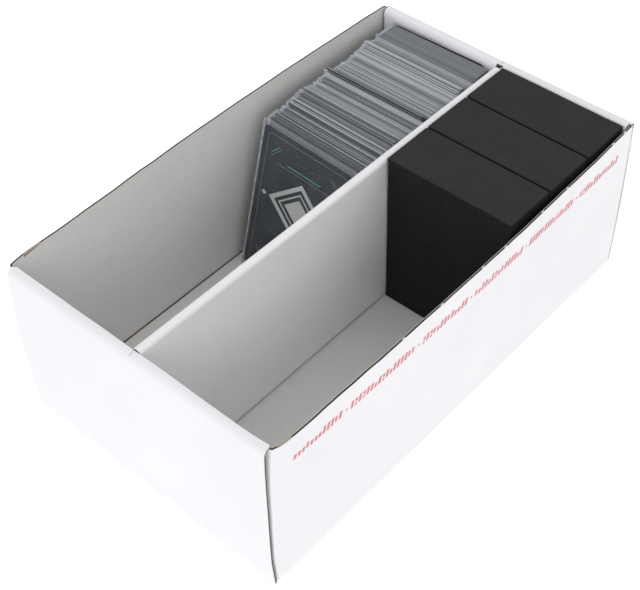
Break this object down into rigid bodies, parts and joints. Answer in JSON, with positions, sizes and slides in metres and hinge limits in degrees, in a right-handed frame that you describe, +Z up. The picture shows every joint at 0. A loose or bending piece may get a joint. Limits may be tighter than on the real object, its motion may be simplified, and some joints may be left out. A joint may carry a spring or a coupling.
{
  "type": "trading card drawer box",
  "caption": "Open corrugated-board card tray with rolled end walls, a lift-out folded divider making two lanes, a leaning row of sleeved cards and foam filler blocks.",
  "frame": {"origin": "centre of the underside, on the surface the tray stands on", "axes": "+Z up; +Y along the length, away from the near end; +X across the width, towards the lane with the foam blocks"},
  "size_m": [0.1724, 0.282, 0.1006],
  "materials": {
    "tray_board": "matte",
    "end_wall_board": "matte",
    "divider_board": "matte",
    "sleeved_cards": "satin",
    "card_stock": "satin",
    "clear_sleeve": "gloss",
    "foam_black": "matte"
  },
  "bodies": {
    "tray": {"floor_panel": "tray_board", "left_side_wall": "tray_board", "right_side_wall": "tray_board", "front_outer_panel": "end_wall_board", "front_roll_top": "end_wall_board", "front_inner_panel": "end_wall_board", "front_left_corner_flap": "end_wall_board", "front_right_corner_flap": "end_wall_board", "front_left_locking_tab": "end_wall_board", "front_right_locking_tab": "end_wall_board", "rear_outer_panel": "end_wall_board", "rear_roll_top": "end_wall_board", "rear_inner_panel": "end_wall_board", "rear_left_corner_flap": "end_wall_board", "rear_right_corner_flap": "end_wall_board", "rear_left_locking_tab": "end_wall_board", "rear_right_locking_tab": "end_wall_board"},
    "divider": {"divider_left_leaf": "divider_board", "divider_right_leaf": "divider_board", "divider_top_fold": "divider_board", "divider_front_tab": "divider_board", "divider_rear_tab": "divider_board"},
    "spacer_front": {"foam_spacer_front": "foam_black"},
    "spacer_middle": {"foam_spacer_middle": "foam_black"},
    "spacer_rear": {"foam_spacer_rear": "foam_black"},
    "front_card": {"front_card": "card_stock", "front_card_sleeve": "clear_sleeve"},
    "rear_card": {"rear_card": "card_stock", "rear_card_sleeve": "clear_sleeve"},
    "packet_1": {"card_packet_1": "sleeved_cards"},
    "packet_2": {"card_packet_2": "sleeved_cards"},
    "packet_3": {"card_packet_3": "sleeved_cards"},
    "packet_4": {"card_packet_4": "sleeved_cards"},
    "packet_5": {"card_packet_5": "sleeved_cards"},
    "packet_6": {"card_packet_6": "sleeved_cards"}
  },
  "joints": [
    {"name": "divider_lift", "type": "slide", "parent": "tray", "child": "divider", "axis": [0, 0, 1], "range_m": [0, 0.1]},
    {"name": "spacer_front_lift", "type": "slide", "parent": "tray", "child": "spacer_front", "axis": [0, 0, 1], "range_m": [0, 0.1]},
    {"name": "spacer_middle_lift", "type": "slide", "parent": "tray", "child": "spacer_middle", "axis": [0, 0, 1], "range_m": [0, 0.1]},
    {"name": "spacer_rear_lift", "type": "slide", "parent": "tray", "child": "spacer_rear", "axis": [0, 0, 1], "range_m": [0, 0.1]},
    {"name": "packet_1_tip", "type": "hinge", "parent": "tray", "child": "packet_1", "pos_m": [-0.0404, -0.0013, 0.0019], "axis": [1, 0, 0], "range_deg": [0, 45]},
    {"name": "packet_2_tip", "type": "hinge", "parent": "tray", "child": "packet_2", "pos_m": [-0.0414, 0.021, 0.0019], "axis": [1, 0, 0], "range_deg": [0, 28]},
    {"name": "packet_3_tip", "type": "hinge", "parent": "tray", "child": "packet_3", "pos_m": [-0.0407, 0.0421, 0.0019], "axis": [1, 0, 0], "range_deg": [0, 18.1]},
    {"name": "packet_4_tip", "type": "hinge", "parent": "tray", "child": "packet_4", "pos_m": [-0.0398, 0.0632, 0.0019], "axis": [1, 0, 0], "range_deg": [0, 11.8]},
    {"name": "packet_5_tip", "type": "hinge", "parent": "tray", "child": "packet_5", "pos_m": [-0.0405, 0.0843, 0.0019], "axis": [1, 0, 0], "range_deg": [0, 7.3]},
    {"name": "packet_6_tip", "type": "hinge", "parent": "tray", "child": "packet_6", "pos_m": [-0.04, 0.1054, 0.0019], "axis": [1, 0, 0], "range_deg": [0, 3.7]},
    {"name": "front_card_pull", "type": "slide", "parent": "packet_1", "child": "front_card", "axis": [0, 0.2743, 0.9616], "range_m": [0, 0.09]},
    {"name": "rear_card_lift", "type": "slide", "parent": "tray", "child": "rear_card", "axis": [0, 0, 1], "range_m": [0, 0.09]}
  ],
  "couplings": [
    {"joint": "packet_2_tip", "follows": "packet_1_tip", "ratio": 0.62},
    {"joint": "packet_3_tip", "follows": "packet_1_tip", "ratio": 0.4},
    {"joint": "packet_4_tip", "follows": "packet_1_tip", "ratio": 0.26},
    {"joint": "packet_5_tip", "follows": "packet_1_tip", "ratio": 0.16},
    {"joint": "packet_6_tip", "follows": "packet_1_tip", "ratio": 0.08}
  ]
}
